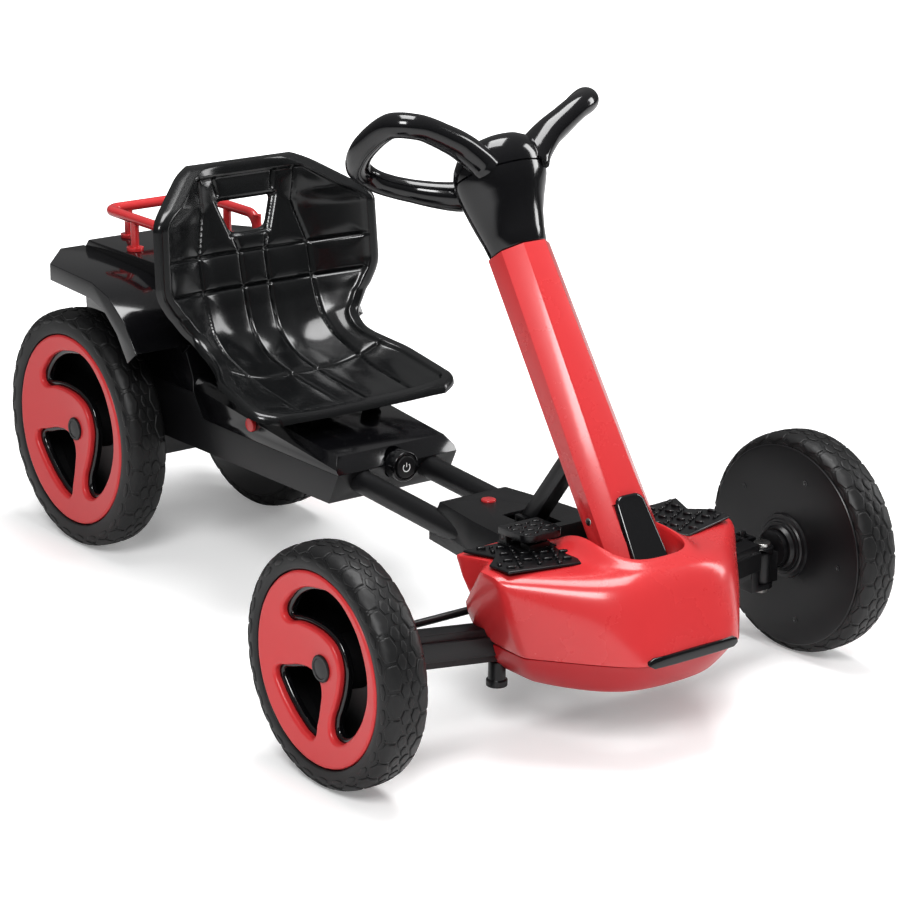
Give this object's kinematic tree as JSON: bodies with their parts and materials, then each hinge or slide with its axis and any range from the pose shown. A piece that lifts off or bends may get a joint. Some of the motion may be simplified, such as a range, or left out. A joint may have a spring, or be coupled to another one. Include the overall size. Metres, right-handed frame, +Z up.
{
  "type": "ride-on kart",
  "caption": "Child's four-wheel battery kart with a telescoping frame, bucket seat, foot pedal, luggage deck and a steering column that folds back over the seat.",
  "frame": {"origin": "on the ground, below the middle of the kart's overall box", "axes": "+Z up, -Y the way the kart drives, +X to the driver's left"},
  "size_m": [0.673, 1.078, 0.6147],
  "materials": {
    "tyre": "matt black rubber",
    "black_gloss": "gloss black moulded plastic",
    "black_satin": "satin black moulded plastic",
    "red_plastic": "semi-gloss red moulded plastic",
    "black_steel": "black powder coat",
    "red_steel": "red paint",
    "zinc": "bright zinc plate",
    "grip_rubber": "studded black rubber"
  },
  "bodies": {
    "rear_module": {"rear_tub": "black_satin", "rear_lid": "black_gloss", "power_bezel": "black_gloss", "battery": "black_satin", "gearmotor": "black_steel", "rear_axle": "zinc", "rear_body": "black_gloss", "fender_left": "black_gloss", "fender_right": "black_gloss", "luggage_rack": "red_steel", "seat": "black_gloss", "seat_posts": "black_satin"},
    "power_key": {"power_button": "black_satin"},
    "side_release": {"release_button_side": "red_plastic"},
    "front_module": {"frame_tube_left": "black_steel", "frame_tube_right": "black_steel", "front_frame": "black_steel", "fold_pins": "zinc", "front_axle_beam": "black_steel", "kingpin_bolts": "zinc", "bump_feet": "black_satin", "slide_housing_top": "black_satin", "slide_housing_bottom": "black_satin", "nose_shell_upper": "red_plastic", "nose_shell_lower": "red_plastic", "nose_strip": "black_satin", "footrest_mat_left": "grip_rubber", "footrest_mat_right": "grip_rubber", "pedal_bracket": "black_satin"},
    "front_release": {"release_button_front": "red_plastic"},
    "pedal": {"accelerator_pedal": "black_satin"},
    "knuckle_left": {"knuckle_left": "black_steel"},
    "knuckle_right": {"knuckle_right": "black_steel"},
    "tie_rod": {"tie_rod": "black_steel"},
    "spindle": {"steering_spindle": "black_steel", "universal_joint": "zinc"},
    "column": {"column_shell": "red_plastic", "column_cover": "black_gloss"},
    "strut": {"strut": "black_satin"},
    "head": {"steering_shaft": "zinc", "head_funnel": "black_gloss", "head_dome": "black_gloss", "handle_left": "black_gloss", "handle_right": "black_gloss"},
    "front_wheel_left": {"tyre_front_left": "tyre", "rim_dish_front_left": "black_satin", "rim_face_front_left": "red_plastic", "hub_cap_front_left": "black_satin"},
    "front_wheel_right": {"tyre_front_right": "tyre", "rim_dish_front_right": "black_satin", "rim_face_front_right": "red_plastic", "hub_cap_front_right": "black_satin"},
    "rear_wheel_left": {"tyre_rear_left": "tyre", "rim_dish_rear_left": "black_satin", "rim_face_rear_left": "red_plastic", "hub_cap_rear_left": "black_satin"},
    "rear_wheel_right": {"tyre_rear_right": "tyre", "rim_dish_rear_right": "black_satin", "rim_face_rear_right": "red_plastic", "hub_cap_rear_right": "black_satin"}
  },
  "joints": [
    {"name": "frame_slide", "type": "slide", "parent": "rear_module", "child": "front_module", "axis": [0, 0.9976, 0.0698], "range_m": [0, 0.09]},
    {"name": "column_fold", "type": "hinge", "parent": "front_module", "child": "column", "pos_m": [0, -0.415, 0.225], "axis": [-1, 0, 0], "range_deg": [0, 34]},
    {"name": "strut_swing", "type": "hinge", "parent": "front_module", "child": "strut", "pos_m": [0, -0.283, 0.185], "axis": [-1, 0, 0], "range_deg": [0, 70.99]},
    {"name": "handlebar_turn", "type": "hinge", "parent": "column", "child": "head", "pos_m": [0, -0.415, 0.225], "axis": [0, 0.5585, 0.8295], "range_deg": [-28, 28]},
    {"name": "spindle_turn", "type": "hinge", "parent": "front_module", "child": "spindle", "pos_m": [0, -0.415, 0.225], "axis": [0, 0, 1], "range_deg": [-28.1, 28.1]},
    {"name": "tie_rod_slide", "type": "slide", "parent": "front_module", "child": "tie_rod", "axis": [1, 0, 0], "range_m": [-0.0133, 0.0133]},
    {"name": "knuckle_left_turn", "type": "hinge", "parent": "front_module", "child": "knuckle_left", "pos_m": [0.2505, -0.367, 0.122], "axis": [0, 0, 1], "range_deg": [-26.09, 26.09]},
    {"name": "front_wheel_left_spin", "type": "hinge", "parent": "knuckle_left", "child": "front_wheel_left", "pos_m": [0.311, -0.367, 0.122], "axis": [1, 0, 0], "continuous": true},
    {"name": "rear_wheel_left_spin", "type": "hinge", "parent": "rear_module", "child": "rear_wheel_left", "pos_m": [0.128, 0.396, 0.143], "axis": [1, 0, 0], "continuous": true},
    {"name": "knuckle_right_turn", "type": "hinge", "parent": "front_module", "child": "knuckle_right", "pos_m": [-0.2505, -0.367, 0.122], "axis": [0, 0, 1], "range_deg": [-26.09, 26.09]},
    {"name": "front_wheel_right_spin", "type": "hinge", "parent": "knuckle_right", "child": "front_wheel_right", "pos_m": [-0.311, -0.367, 0.122], "axis": [1, 0, 0], "continuous": true},
    {"name": "rear_wheel_right_spin", "type": "hinge", "parent": "rear_module", "child": "rear_wheel_right", "pos_m": [-0.128, 0.396, 0.143], "axis": [1, 0, 0], "continuous": true},
    {"name": "pedal_press", "type": "hinge", "parent": "front_module", "child": "pedal", "pos_m": [-0.08, -0.357, 0.206], "axis": [1, 0, 0], "range_deg": [0, 7], "stiffness_Nm_per_rad": 2, "springref_deg": -2.86},
    {"name": "power_press", "type": "slide", "parent": "rear_module", "child": "power_key", "axis": [0, 1, 0], "range_m": [0, 0.002], "stiffness_N_per_m": 800},
    {"name": "side_release_press", "type": "slide", "parent": "rear_module", "child": "side_release", "axis": [1, 0, 0], "range_m": [0, 0.003], "stiffness_N_per_m": 800},
    {"name": "front_release_press", "type": "slide", "parent": "front_module", "child": "front_release", "axis": [0, 0, -1], "range_m": [0, 0.003], "stiffness_N_per_m": 800, "springref_m": -0.0005}
  ],
  "couplings": [
    {"joint": "strut_swing", "follows": "column_fold", "ratio": 2.0876},
    {"joint": "spindle_turn", "follows": "handlebar_turn", "ratio": 1},
    {"joint": "tie_rod_slide", "follows": "handlebar_turn", "m_per_rad": -0.026899},
    {"joint": "knuckle_left_turn", "follows": "handlebar_turn", "ratio": 0.92812},
    {"joint": "knuckle_right_turn", "follows": "handlebar_turn", "ratio": 0.92812}
  ]
}
